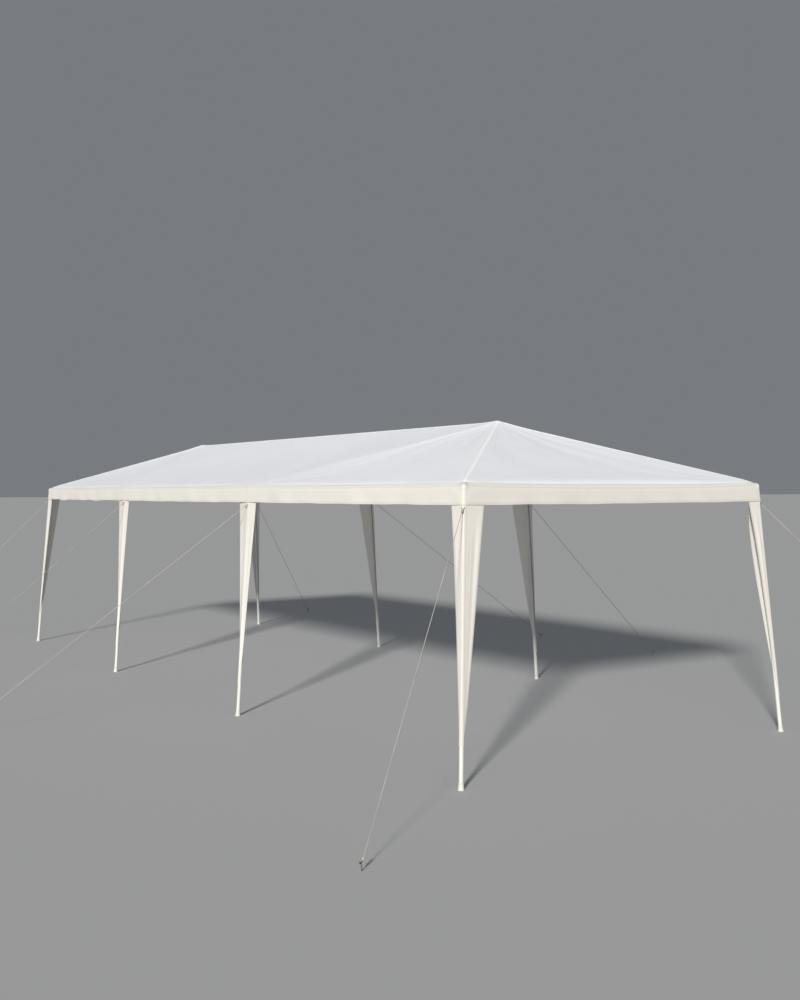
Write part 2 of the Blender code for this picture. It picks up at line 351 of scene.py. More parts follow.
COLUMNS = 84
VALANCE_ROWS = 14
ROOF_ROWS = 46
SEAM_ROW = VALANCE_ROWS + 3  # the valance is sewn to the roof just above the eave's edge
# How far the cloth's middle stays off each part of the frame
OVER_POLE, OVER_SLEEVE, OVER_HUB, OVER_CORNER = 0.0018, 0.0014, 0.0028, 0.0035
SEWN = 0.0002  # the gap between a sheet's face and what is sewn on it
OVER_TRIMS = 0.0009  # the height of the hems and tapes that a corner strip or a peak patch lies over
# How thick each kind of sewn strip is drawn
THICK = {
    "hip": 0.0005, "ridge": 0.0009, "patch": 0.001, "hem": 0.0006, "band": 0.0003, "strip": 0.0006, "drape": 0.0005,
}
RIDGE_FOLD = 34  # degrees: the ridge turns by more, so it is a sharp fold, and the hips by less
LOOSE = {0: 3.0, 7: 2.0, 4: 1.6}  # how much more the valance's hem rises and falls on some spans
SPAN_STEP = 3.1  # each span's flat cloth is laid this far along from the last one's


def spaced(count, share):
    """Shares from 0 to 1 that lie closer together near both ends."""
    even = np.linspace(0, 1, count + 1)
    return even - share * np.sin(2 * pi * even) / (2 * pi)


def arch(share):
    """One at the middle of a span and nothing at its ends."""
    return 4 * share * (1 - share)


def near_by(away, reach):
    """One at a place, fading out smoothly over a reach round it."""
    return np.exp(-((away / reach) ** 2))


def waves(places, lengths_of, seed):
    """A gentle run of mixed waves along a line, about one high."""
    random = np.random.default_rng(seed)
    total = sum(np.sin(2 * pi * places / length + random.uniform(0, 2 * pi)) for length in lengths_of)
    return total / len(lengths_of)


def span_ends(index):
    """The cover's edge, its hem and its peak at each of the two legs of one of the eight spans."""
    ends = []
    for leg in (ROUND[index], ROUND[(index + 1) % len(ROUND)]):
        edge, hem = (point + outward(leg) * COVER_OUT for point in (leg_top(leg), leg_axis(leg, HEM)))
        peak = peak_over(LEGS[leg][0])
        edge.z, peak.z = EDGE, RIDGE
        ends.append([np.array(point) for point in (edge, hem, peak)])
    return ends


def peak_rise(away, settings):
    """How far the cloth stands up over a peak's joint, so far away from its middle."""
    return settings.peak_lift * near_by(away, 0.14)


def cover_span(index, settings):
    """One span of the cover: points from the hem up to the ridge, sagging and creased as hung cloth."""
    (edge_a, hem_a, peak_a), (edge_b, hem_b, peak_b) = span_ends(index)
    u = spaced(COLUMNS, 0.7)[None, :]
    length = np.linalg.norm(edge_b - edge_a)
    at_end = index in STRIPS["left"] + STRIPS["right"]
    droop = settings.end_droop if at_end else settings.side_droop
    edge = edge_a + (edge_b - edge_a) * u[..., None]
    edge[..., 2] -= droop * arch(u)
    # Roof: rows rise from the edge, closer together where the cloth rolls over the eave pole
    v = (np.linspace(0, 1, ROOF_ROWS + 1) ** 1.5)[:, None]
    top = peak_a + (peak_b - peak_a) * u[..., None]
    flat_edge = edge_a + (edge_b - edge_a) * u[..., None]
    roof = flat_edge + (top - flat_edge) * v[..., None]
    rise = np.linalg.norm(top - flat_edge, axis=-1)
    up = v * rise
    width = length * (1 - v) + np.linalg.norm(peak_b - peak_a) * v
    inward = np.minimum(u, 1 - u) * width
    # The bound hips and the eave hold the cloth straight close by
    border = (1 - near_by(inward, 0.035)) * (1 - near_by(up, 0.05))
    drop = settings.roof_sag * arch(u) * arch(v) + droop * arch(u) * near_by(up, 0.06)
    random = np.random.default_rng(40 + index)
    ripple = 0.0
    for near in (u, 1 - u):
        # Short pulls beside each bound hip, 1.1 mm high and some 83 mm apart
        beside = near * width
        run = v * sqrt(2) * rise
        ripple += 0.0011 * np.exp(-beside / 0.07) * np.sin(2 * pi * run / 0.083 + 1.3 * np.sin(7 * run))
        # Folds that fan out from the leg's top and fade up the roof
        reach = np.hypot(beside, up)
        turn = np.arctan2(up, beside)
        phase = random.uniform(0, 2 * pi)
        fan = np.sin(13 * turn + phase) * np.exp(-reach / 0.5) * np.clip(reach / 0.15, 0, 1)
        ripple += settings.wrinkle * fan
    # Five smaller folds that fan down from the peak
    from_peak = (1 - v) * rise
    crown = np.sin(2 * pi * u * 5 + random.uniform(0, 6)) * np.exp(-from_peak / 0.4) * np.clip(from_peak / 0.1, 0, 1)
    ripple += 0.45 * settings.wrinkle * crown
    across = u * length
    ripple += 0.0022 * waves(across + 0.55 * up, (0.93, 1.37, 0.61), 60 + index) * arch(v)
    roof[..., 2] += border * ripple - drop
    near = np.minimum(*[np.linalg.norm((roof - peak)[..., :2], axis=-1) for peak in (peak_a, peak_b)])
    roof[..., 2] += peak_rise(near, settings)
    # Valance: rows from the hem up to the edge
    k = np.linspace(0, 1, VALANCE_ROWS + 1)[:, None]
    hem = hem_a + (hem_b - hem_a) * u[..., None]
    window = np.clip(np.minimum(u, 1 - u) * length / 0.5, 0, 1) ** 1.2
    bow = (0.004 if at_end else 0.003) * arch(u)
    hem[..., 2] += LOOSE.get(index, 1.0) * 0.0026 * window * waves(across, (0.71, 0.43, 1.13), 80 + index) - bow
    valance = hem + (edge - hem) * k[..., None]
    out = np.cross(edge_b - edge_a, (0, 0, 1))
    out = out / np.linalg.norm(out)
    sway = settings.hem_wave * waves(across + 0.1 * k, (0.37, 0.52, 0.83), 90 + index) + 0.35 * settings.hem_wave
    valance += (window * sway * (1 - k) ** 1.2)[..., None] * out
    return np.concatenate([valance[:-1], roof])


def push_out(points, start, end, clear):
    """Move the points that lie nearer to a pole than a clearance out to it."""
    start, end = np.array(start), np.array(end)
    run = end - start
    share = np.clip(((points - start) @ run) / max(run @ run, 1e-12), 0, 1)
    gap = points - (start + share[..., None] * run)
    far = np.linalg.norm(gap, axis=-1)
    return points + gap * (np.maximum(clear - far, 0) / np.maximum(far, 1e-9))[..., None]


def clear_frame(points):
    """Keep the cover off the hubs, sleeves, poles and legs."""
    peaks = [peak_over(way) for way in ENDS.values()]
    inside = SOCKET + 0.004  # the length of pole that a joint's sleeve covers
    for index, leg in enumerate(ROUND):
        here, ahead = leg_top(leg), leg_top(ROUND[(index + 1) % len(ROUND)])
        way = (ahead - here).normalized() * inside
        points = push_out(points, here, ahead, TUBE + OVER_POLE)
        for joint, target in ((here, here + way), (ahead, ahead - way)):
            points = push_out(points, joint, target, SLEEVE + OVER_SLEEVE)
        peak = peak_over(LEGS[leg][0])
        rafter = (peak - here).normalized() * inside
        points = push_out(points, here, peak, TUBE + OVER_SLEEVE)
        points = push_out(points, here, here + rafter, SLEEVE + OVER_SLEEVE)
        points = push_out(points, peak, peak - rafter, SLEEVE + OVER_SLEEVE)
        points = push_out(points, here, here, HUB + OVER_HUB)
        low, valance = leg_axis(leg, HEM - 0.02), slice(0, VALANCE_ROWS + 1)
        points[valance] = push_out(points[valance], low, here, COVER_OUT - 0.0012)
    points = push_out(points, *peaks, TUBE + OVER_POLE)
    for peak, way in zip(peaks, (1, -1)):
        points = push_out(points, peak, peak + Vector((way * inside, 0, 0)), SLEEVE + OVER_SLEEVE)
    return points


def soften(points):
    """Round the cover over each corner joint, as cloth pulled over it lies."""
    tip, seam = np.zeros(points.shape[:2]), np.zeros(points.shape[:2])
    for index in CORNERS:
        corner = points[VALANCE_ROWS, index * COLUMNS]
        tip = np.maximum(tip, eased(1 - np.linalg.norm(points - corner, axis=-1) / 0.15))
        line = points[:, [index * COLUMNS], :2]
        share = np.clip(1 - np.linalg.norm(points[..., :2] - line, axis=-1) / 0.06, 0, 1)
        share[VALANCE_ROWS:] = 0
        seam = np.maximum(seam, share)
    # Along the eave the cloth rolls over the pole in a soft round
    far = np.linalg.norm(points - points[VALANCE_ROWS], axis=-1)[1:-1, :, None]
    for _ in range(26):
        mean = (points[:-2] + points[2:]) / 2
        points[1:-1] += 0.5 * np.clip(1 - far / 0.036, 0, 1) * (mean - points[1:-1])
    for step in range(34):
        beside = (np.roll(points, 1, 1) + np.roll(points, -1, 1)) / 2
        mean = beside.copy()
        mean[1:-1] = (beside[1:-1] + (points[:-2] + points[2:]) / 2) / 2
        weight = np.maximum(tip, seam * (step < 6))
        weight[-1] = 0
        points = points + (0.6 * weight)[..., None] * (mean - points)
        for index in CORNERS:  # the cloth stays outside the joint all along
            joint = leg_top(ROUND[index])
            points = push_out(points, joint, joint, HUB + OVER_CORNER)
    return points


def normals_of(points):
    """Outward directions over the ring of points."""
    beside = np.roll(points, -1, 1) - np.roll(points, 1, 1)
    normal = np.cross(beside, np.gradient(points, axis=0))
    normal[-1] = normal[-2]
    return normal / np.maximum(np.linalg.norm(normal, axis=-1), 1e-12)[..., None]


def flat_places(points, index):
    """Where a span's points lie on the flat cloth, measured along the eave and up the slope."""
    along = points[0, -1] - points[0, 0]
    along = along / np.linalg.norm(along)
    middle_of = points.shape[1] // 2
    up = points[-1, middle_of] - points[0, middle_of]
    up = up - along * (up @ along)
    up = up / np.linalg.norm(up)
    place = points - points[0, 0]
    return np.stack([place @ along + SPAN_STEP * index, place @ up], -1)


class Cover:
    """The whole cover's points and outward directions, made once and read by every cover piece."""

    points = None
    normals = None

    @classmethod
    def make(cls, settings):
        spans = [cover_span(index, settings)[:, :-1] for index in range(len(ROUND))]
        points = clear_frame(np.concatenate(spans, axis=1))
        points = clear_frame(soften(points))
        cls.points, cls.normals = points, normals_of(points)

    @classmethod
    def ring(cls, rows, start, stop):
        """The points and outward directions of some rows, from one column to another round the tent."""
        ids = np.arange(start, stop) % cls.points.shape[1]
        return cls.points[rows][:, ids], cls.normals[rows][:, ids]

    @classmethod
    def span(cls, rows, index):
        """The points and outward directions of some rows of one span."""
        return cls.ring(rows, index * COLUMNS, (index + 1) * COLUMNS + 1)


def cover_patches(rows, spans):
    """The grids of some spans of the cover with their flat places."""
    grids = [(Cover.span(rows, index)[0], index) for index in spans]
    return [(points, flat_places(points, index)) for points, index in grids]


def tape_across(rows, centre, reaches, lift, slant=0.0):
    """A strip that lies over the cover along one column, so far to each side of it."""
    half = COLUMNS // 2
    points, out = Cover.ring(rows, centre - half, centre + half + 1)
    # A hip crosses the rows at a slant, square to them only where it meets the eave
    skew = 1 + slant * eased(np.arange(len(points)) / 12)
    run = lengths(points, axis=1)
    strip = sampled(points + out * lift, run - run[:, [half]], skew[:, None] * reaches)
    return strip, flat_grid(from_edge(reaches)[None], lengths(strip[:, len(reaches) // 2])[:, None])


def from_edge(reaches):
    """How far in from a strip's nearer edge each of its lines of points lies."""
    return np.minimum(reaches - reaches[0], reaches[-1] - reaches)


def tape_along(spans, reaches, lift, upward=True):
    """A strip along the valance, so far up from its hem or down from its upper edge."""
    way = 1 if upward else -1
    patches = []
    for index in spans:
        points, out = Cover.span(slice(0, VALANCE_ROWS + 1), index)
        strip = sampled_up((points + out * lift)[::way], reaches)
        along = lengths(strip[0]) + SPAN_STEP * index
        patches.append((strip[::way], flat_grid(from_edge(reaches)[:, None], along[None])[::way]))
    return patches


# Leg drapes

DRAPE_TOP = HEM + 0.055
DRAPE_ACROSS = 56
DRAPE_DOWN = 90
# The drapes don't all hang alike: each one's share of the full width at the top, how far it is pulled round from its
# leg's middle there, how fast both fade down its taper, and how far the whole drape leans round besides
HUNG = {
    "front_right": (1.0, 0.021, 0.4, 0),
    "front_mid_right": (1.0, -0.033, 1, 0),
    "front_mid_left": (0.95, 0.045, 1, 0),
    "back_right": (0.84, 0.052, 6, -0.036),
    "back_mid_right": (0.94, -0.04, 1, 0),
    "back_mid_left": (0.94, 0.04, 1, 0),
}


def hung(leg):
    """How one leg's drape hangs."""
    return HUNG.get(leg, (1.0, 0.0, 1, 0))


def drape_taper(leg, height, settings):
    """How much of a drape's taper is left at heights: one at the hem, nothing where it lies round its leg."""
    narrow = getattr(settings, ("corner" if LEGS[leg][2] else leg.split("_")[0]) + "_narrow")
    return 1 - np.clip((HEM - height) / (HEM - narrow), 0, 1)


def drape_width(leg, height, settings):
    """Half of a drape's width at heights: a straight taper from the hem, then a narrow sleeve."""
    taper = drape_taper(leg, height, settings)
    reach = settings.drape_reach if LEGS[leg][2] else settings.side_reach
    share, _, fade, _ = hung(leg)
    reach = reach * (1 - (1 - share) * taper ** fade)
    return settings.drape_wrap + (reach - settings.drape_wrap) * taper


def drape_spread(leg, places, height, settings):
    """How far round from the leg's middle the places on a drape lie, and how much of the taper is left there."""
    taper = drape_taper(leg, height, settings)
    _, pulled, fade, lean = hung(leg)
    off = pulled * taper ** fade + lean * taper
    return drape_width(leg, height, settings) * np.atleast_2d(places) + off, taper


def drape_points(leg, places, heights, settings, lift=0.0):
    """Points of a leg's drape, at shares of its half width and at heights, lifted off its outer face."""
    direction, side, at_corner = LEGS[leg]
    ways = outward(leg), Vector((direction, -side * at_corner, 0))
    out, along = (np.array(way.normalized()) for way in ways)
    places = np.atleast_2d(places)
    height = heights[:, None]
    developed, taper = drape_spread(leg, places, height, settings)
    # The wings stand out from the leg and curl round it as they narrow, so that their edges hang straight
    start = pi / 4 if at_corner else settings.side_curl * (1 if side == SIDES["back"] else 0.2)
    wrap = start + (radians(88) - start) * np.exp(-3.7 * np.sqrt(taper))
    radius = SLEEVE + 0.0015 - 0.0028 * eased((HEM - height) / 0.05)
    arc = radius * wrap
    turn = np.clip(developed, -arc, arc) / radius
    past = developed - np.clip(developed, -arc, arc)
    # Soft folds run down each wing, with none at the pole
    random = np.random.default_rng(list(LEGS).index(leg))
    free = np.clip((np.abs(developed) - arc - 0.006) / 0.03, 0, 1)
    deep = eased((HEM - 0.01 - height) / 0.35) * (1 - 0.8 * eased((HEM - height) / 1.3))
    fold = np.sin(places * 8.0 + random.uniform(0, 6)) + 0.5 * np.sin(places * 15.0 + random.uniform(0, 6))
    drift = np.sin(1.6 * (HEM - height) + random.uniform(0, 6) + 1.6 * places)
    bulge = settings.drape_fold * free * deep * (fold + 0.6 * drift)
    radial = out * np.cos(turn)[..., None] + along * np.sin(turn)[..., None]
    tangent = -out * np.sin(turn)[..., None] + along * np.cos(turn)[..., None]
    centre = np.array([leg_axis(leg, level) for level in heights])[:, None, :]
    reach = radius + bulge + lift
    return centre + radial * reach[..., None] + tangent * past[..., None]


def drape_patch(leg, places, heights, settings):
    """A drape's grid of points with their flat places."""
    points = drape_points(leg, places, heights, settings)
    across, _ = drape_spread(leg, places, heights[:, None], settings)
    if not LEGS[leg][2]:
        across = across + 1  # a side drape hangs loose of its leg, so its places are moved off the band of painted shade over the pole
    return round_leg(leg, 1, points, flat_grid(across, heights[:, None]))


def round_leg(leg, way, *grids):
    """Grids turned so that they run the same way round every leg."""
    along, across, _ = LEGS[leg]
    return tuple(grid[:, ::-1] for grid in grids) if along * across * way > 0 else grids


def drape_tape(leg, way, reaches, heights, settings):
    """A strip sewn down a drape: a doubled hem in from one edge (way -1 or 1), or a seam at its middle (way 0)."""
    shares = reaches / drape_width(leg, heights[:, None], settings)
    places = way * (1 - shares) if way else shares
    points = drape_points(leg, places, heights, settings, settings.cloth / 2 + SEWN)
    return round_leg(leg, -way or 1, points, flat_grid(from_edge(reaches)[None], heights[:, None]))


# Guy lines

ROPE = 0.0025
WRAP = 0.0052  # a knot's radius, and how far on each of its turns lies
PEG = 0.0035
PEG_SHAFT = 0.055
PEG_HOOK = 0.012
PEG_TIP = 0.012
TIE_HEIGHT = 0.035
GUY_DROP = 0.02  # from the hem down to where a rope leaves its leg
RING_OUT = TUBE + 0.0035


def peg_ground(leg):
    """Where a guy line's peg enters the ground, and the way from the leg to it."""
    low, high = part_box(f"guy_line_{leg}")
    along, across, at_corner = LEGS[leg]
    away = Vector((along if at_corner else -along, across, 0))
    top = leg_top(leg)
    top.z = 0
    far = top + away
    # The hook reaches past the peg's shaft, away from the leg, so the box ends at the hook
    for _ in range(9):
        unit = (far - top).normalized()
        for axis in range(2):
            end = high[axis] if away[axis] > 0 else low[axis]
            far[axis] = end - (abs(unit[axis]) * 2 * PEG_HOOK + PEG) * away[axis]
    return far, (far - top).normalized()


def guy_run(leg):
    """A guy line's upper end at its ring, its tie at the peg, its direction down and its way out over the ground."""
    ground, away = peg_ground(leg)
    tie = ground + Vector((0, 0, TIE_HEIGHT))
    start = leg_axis(leg, HEM - GUY_DROP)
    return start + away * RING_OUT, tie, (tie - start).normalized(), away


# Finishes


# The cloth's tapes lie 2.5 mm apart, drawn at 5 mm so that they show; a Wave Texture's bands repeat at 2 pi / 20
WEAVE_SCALE = 2 * pi / 20 / 0.005


def sheeting(name, colour, shade, through, over_pole=1.0):
    """Woven polyethylene sheeting, laminated: a soft plastic sheen over a square weave, slightly uneven in tone, with
    painted shade where it lies on a pole.
    """
    material, tree, shader = new_material(name, colour, 0.5, Specular_IOR_Level=0.35)
    place = add_node(tree, "TexCoord").outputs["UV"]
    bands = [weave_bands(tree, place, way, Distortion=0.4) for way in ("X", "Y")]
    weave = add_node(tree, "Math", dict(enumerate(bands)), operation="MULTIPLY").outputs[0]
    # Soft handling creases, some 90 mm across
    creased = {"Vector": place, "Scale": 11.0, "Detail": 3.0, "Roughness": 0.6}
    crease = add_node(tree, "TexNoise", creased).outputs["Fac"]
    fine = add_node(tree, "Bump", {"Strength": 0.18, "Distance": 0.0004, "Height": weave}).outputs["Normal"]
    soft = add_node(tree, "Bump", {"Strength": 0.35, "Distance": 0.004, "Height": crease, "Normal": fine})
    toned = two_tones(tree, place, 1.3, 4.0, 0.3, colour, shade)
    # Painted shade: where the cloth lies on a pole it is drawn darker by the given share, which holds down the bright
    # spine where it faces the main light
    across = add_node(tree, "SeparateXYZ", {0: place}).outputs["X"]
    beside = add_node(tree, "Math", {0: across}, operation="ABSOLUTE").outputs[0]
    pole = {"Value": beside, "From Min": 0.008, "From Max": 0.019, "To Min": over_pole, "To Max": 1.0}
    held = add_node(tree, "MapRange", pole, interpolation_type="SMOOTHSTEP").outputs["Result"]
    pole_shaded_tone = add_node(tree, "VectorMath", {0: toned, "Scale": held}, operation="SCALE").outputs["Vector"]
    worn = {"Value": crease, "From Min": 0.3, "From Max": 0.7, "To Min": 0.44, "To Max": 0.56}
    gloss = add_node(tree, "MapRange", worn).outputs["Result"]
    feed(tree, shader, {"Base Color": pole_shaded_tone, "Roughness": gloss, "Normal": soft.outputs["Normal"]})
    # Thin cloth lets a little light through, so the underside glows faintly
    glow = add_node(tree, "BsdfTranslucent", {"Color": srgb(colour), "Normal": soft.outputs["Normal"]})
    both = add_node(tree, "MixShader", {0: through, 1: shader.outputs[0], 2: glow.outputs[0]})
    feed(tree, tree.nodes["Material Output"], {"Surface": both.outputs[0]})
    return material


def two_tones(tree, place, scale, detail, low, colour, shade):
    """A colour with broad soft patches of a second one."""
    broad = add_node(tree, "TexNoise", {"Vector": place, "Scale": scale, "Detail": detail})
    share = add_node(tree, "MapRange", {"Value": broad.outputs["Fac"], "From Min": low, "From Max": 0.7})
    colours = {"Factor": share.outputs["Result"], "A": srgb(colour), "B": srgb(shade)}
    mixed = add_node(tree, "Mix", colours, data_type="RGBA")
    return next(socket for socket in mixed.outputs if socket.enabled)


def weave_bands(tree, place, way, **inputs):
    """Bands that repeat at the spacing of the drawn weave."""
    inputs |= {"Vector": place, "Scale": WEAVE_SCALE}
    return add_node(tree, "TexWave", inputs, bands_direction=way).outputs["Fac"]


def seam_look(name, colour):
    """Doubled sheeting sewn down: a fine weave, with a row of stitches near each edge."""
    material, tree, shader = new_material(name, colour, 0.55, Specular_IOR_Level=0.3)
    place = add_node(tree, "TexCoord").outputs["UV"]
    weave = weave_bands(tree, place, "Y")
    # The row lies 3 mm in from the edge, and its stitches are as long as the drawn weave is wide
    across = add_node(tree, "SeparateXYZ", {0: place}).outputs["X"]
    row = add_node(tree, "Math", {0: across, 1: 0.003, 2: 0.0007}, operation="COMPARE").outputs[0]
    thread = add_node(tree, "Math", {0: row, 1: weave}, operation="MULTIPLY").outputs[0]
    height = add_node(tree, "Math", {0: thread, 1: 10.0, 2: weave}, operation="MULTIPLY_ADD").outputs[0]
    bump = add_node(tree, "Bump", {"Strength": 0.25, "Distance": 0.00015, "Height": height})
    feed(tree, shader, {"Normal": bump.outputs["Normal"]})
    return material


def grained(name, colour, shade, roughness, grain, depth, **sockets):
    """A finish with a fine grain on the surface and a slight change of tone."""
    material, tree, shader = new_material(name, colour, roughness, **sockets)
    place = add_node(tree, "TexCoord").outputs["Object"]
    fine = add_node(tree, "TexNoise", {"Vector": place, "Scale": 1 / grain, "Detail": 3.0}).outputs["Fac"]
    bump = add_node(tree, "Bump", {"Strength": 0.4, "Distance": depth, "Height": fine})
    rough = add_node(tree, "MapRange", {"Value": fine, "To Min": roughness - 0.06, "To Max": roughness + 0.06})
    feed(tree, shader, {
        "Base Color": two_tones(tree, place, 6.0, 3.0, 0.35, colour, shade),
        "Roughness": rough.outputs["Result"],
        "Normal": bump.outputs["Normal"],
    })
    return material


def mix_finishes(cover, hardware):
    """All the marquee's finishes."""
    # The drapes are given painted shade over their legs, and the roof and the valance get none
    for name, over_pole in (("roof", 1.0), ("valance", 1.0), ("drape", 0.86)):
        # The roof's colours carry painted sky light
        colours = getattr(cover, f"{name}_colour"), getattr(cover, f"{name}_shade")
        sheeting(f"{name}_sheeting_look", *colours, cover.through, over_pole)
    # Both seam finishes take the seams' colour, which carries painted shade
    seam_look("valance_seam_look", cover.shaded_seam_colour)
    seam_look("drape_seam_look", cover.shaded_seam_colour)
    seam_look("hip_tape", cover.hip_colour)
    looks = {
        # Powder-coated steel tube: an even satin white with a faint orange peel
        "powder_coated_steel": ("steel", 0.38, 0.0016, 0.0002),
        # Powder-coated joint tube, greyer and a little rougher over its welds
        "coated_joint": ("joint", 0.45, 0.0022, 0.0003),
        # Moulded polypropylene: a dull sheen with a fine sparked grain
        "moulded_boot": ("boot", 0.5, 0.001, 0.0002),
        # Twisted polypropylene rope: slightly hairy, no gloss
        "twisted_rope": ("rope", 0.75, 0.0015, 0.0005),
    }
    for name, (part, *grain) in looks.items():
        grained(name, getattr(hardware, f"{part}_colour"), getattr(hardware, f"{part}_shade"), *grain)
    # Hot-dip galvanised steel: grey, with crystal patches of different gloss
    grained("galvanised_steel", "#8F9294", "#74787B", 0.42, 0.004, 0.0002, Metallic=0.9)


# Settings


def size(name, text, default, **more):
    """A length that a user may change."""
    return bpy.props.FloatProperty(name=name, description=text, default=default, unit="LENGTH", precision=4, **more)


def hue(name, text, default):
    """A colour that a user may change, as an sRGB hex code."""
    return bpy.props.StringProperty(name=name, description=text, default=default)


def number(name, text, default):
    """A plain number that a user may change."""
    return bpy.props.FloatProperty(name=name, description=text, default=default)


class MarqueeCoverSettings(bpy.types.PropertyGroup):
    """The cover's cloth."""

    cloth: size("Cloth", "Thickness of the sheeting as drawn", 0.001)
    roof_sag: size("Roof sag", "How far the roof hangs between its supports", 0.015)
    side_droop: size("Side droop", "How far the long eaves' edge hangs between legs", 0.009)
    end_droop: size("End droop", "How far the short eaves' edge hangs between legs", 0.022)
    wrinkle: size("Wrinkle", "Height of the folds that fan from the legs", 0.0015)
    hem_wave: size("Hem wave", "How far the valance's hem waves in and out", 0.007)
    peak_lift: size("Peak lift", "How far the cloth stands up over each peak's joint", 0.009)
    peak_patch: size("Peak patch", "Radius of the patch sewn over each peak", 0.055)
    tape: size("Tape", "Width of the bound seams", 0.024)
    strip: size("Corner strip", "Width of the strip over each corner of the valance", 0.036)
    drape_reach: size("Drape reach", "Half of a corner drape's width at its top", 0.15)
    side_reach: size("Side drape reach", "Half of a side drape's width at its top", 0.165)
    drape_wrap: size("Drape wrap", "Half of a drape's width where it lies round its leg", 0.0262)
    corner_narrow: size("Corner taper end", "Height where a corner drape's taper ends", 0.34)
    front_narrow: size("Front taper end", "Height where a front side drape's taper ends", 0.45)
    back_narrow: size("Back taper end", "Height where a back side drape's taper ends", 0.42)
    side_curl: number("Side curl", "How far a back side drape's wings curl round the leg, in radians", 0.34)
    drape_fold: size("Drape fold", "Depth of a drape's soft folds", 0.0022)
    # Painted light: the roof is the same sheeting as the valance and the drapes, drawn brighter and bluer, standing in
    # for the sky's light that falls on its upward-facing slopes
    roof_colour: hue("Roof", "Roof sheeting", "#F6F9FF")
    roof_shade: hue("Roof shade", "Darker patches of the roof", "#F2F5FC")
    valance_colour: hue("Valance", "Valance sheeting", "#DEDCD6")
    valance_shade: hue("Valance shade", "Darker patches of the valance", "#D9D7D0")
    drape_colour: hue("Drapes", "Drape sheeting", "#E2E0DB")
    drape_shade: hue("Drape shade", "Darker patches of the drapes", "#DDDAD3")
    # Painted shade: the doubled cloth of the hems, bands, corner strips and drape seams is drawn darker than the
    # sheeting it is sewn on, which holds down the highlight where these rounded strips face the main light
    shaded_seam_colour: hue("Seams", "Doubled cloth of the valance and the drapes", "#D2CFC8")
    hip_colour: hue("Hip tape", "Binding tape of the roof", "#FDFDFE")
    through: number("Light through", "Share of the light that passes through the cloth", 0.03)


class MarqueeHardwareSettings(bpy.types.PropertyGroup):
    """Tubes, joints, boots, ropes and pegs."""

    leg_lap: size("Leg lap", "Height where a leg's lower tube slides into its upper one", 0.965)
    strand_pitch: size("Strand pitch", "Length of one turn of the rope's strands", 0.022)
    steel_colour: hue("Steel", "Powder-coated tube", "#D8D9D6")
    steel_shade: hue("Steel shade", "Tube, darker patches", "#CFD0CC")
    joint_colour: hue("Joint", "Coated joint", "#CFD0CF")
    joint_shade: hue("Joint shade", "Joint, darker patches", "#C2C4C3")
    boot_colour: hue("Boot", "Moulded boot", "#D6D5CF")
    boot_shade: hue("Boot shade", "Boot, darker patches", "#CAC8C0")
    rope_colour: hue("Rope", "Rope", "#B6B3A8")
    rope_shade: hue("Rope shade", "Rope, darker fibres", "#98958B")


class MarqueeStageSettings(bpy.types.PropertyGroup):
    """Floor, lights and camera."""

    floor_colour: hue("Floor", "Plain pale floor", "#B6B7B8")
    sky_colour: hue("Sky", "Soft light from all round", "#E1E8F0")
    key: number("Key", "Strength of the main light", 4.15)
    sky: number("Sky strength", "Strength of the soft light", 0.25)


# Operators


class MarqueeOperator:
    """What all the marquee's operators share: they act on the scene's settings and stop on a fault."""

    bl_options = {"REGISTER"}

    def execute(self, context):
        scene = context.scene
        self.build(scene.marquee_cover, scene.marquee_hardware)
        return {"FINISHED"}


class MARQUEE_OT_mix_finishes(MarqueeOperator, bpy.types.Operator):
    """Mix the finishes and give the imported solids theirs, of which the joints stay in sight"""

    bl_idname = "marquee.mix_finishes"
    bl_label = "Mix finishes"

    def build(self, cover, hardware):
        mix_finishes(cover, hardware)
        for name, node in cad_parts.items():
            look = "coated_joint" if "joint" in name else "powder_coated_steel"
            for holder in node.material_slots:
                holder.material = bpy.data.materials[look]


class MARQUEE_OT_make_roof(MarqueeOperator, bpy.types.Operator):
    """Make the roof: one sewn sheet over the rafters and the ridge, with its bound hips and ridge"""

    bl_idname = "marquee.make_roof"
    bl_label = "Make roof"

    def build(self, cover, hardware):
        Cover.make(cover)
        rows = slice(SEAM_ROW, None)
        patches = cover_patches(rows, range(len(ROUND)))
        roof = woven("roof", patches, cover.cloth, crease=RIDGE_FOLD)
        panels = [f"roof_{side}_panel" for side in (*SIDES, *ENDS)]
        finish_piece(roof, "roof_sheeting_look", panels)
        area = sum(sheet_area(points) for points, _ in patches)
        look = "hip_tape", "roof_sheeting"
        tapes = []
        reaches = np.linspace(-cover.tape / 2, cover.tape / 2, 7)
        for index in CORNERS:
            strip = tape_across(slice(SEAM_ROW, -1), index * COLUMNS, reaches, cover.cloth / 2 + SEWN, 0.4)
            tapes.append(sewn(f"hip_tape_{ROUND[index]}", [strip], THICK["hip"], *look))
        tapes.append(sewn("ridge_tape", [ridge_strip(cover)], THICK["ridge"], *look, crease=RIDGE_FOLD))
        tapes += [sewn(f"peak_patch_{end}", [peak_patch(end, cover)], THICK["patch"], *look) for end in ENDS]
        supports = [f"rafter_{leg}" for leg in LEGS] + ["ridge_pole"]
        supports += [f"eave_{side}_middle" for side in SIDES]


def sheet_area(points):
    """The area of a grid of points."""
    a, b = points[1:, 1:] - points[:-1, :-1], points[1:, :-1] - points[:-1, 1:]
    return float(np.linalg.norm(np.cross(a, b), axis=-1).sum() / 2)


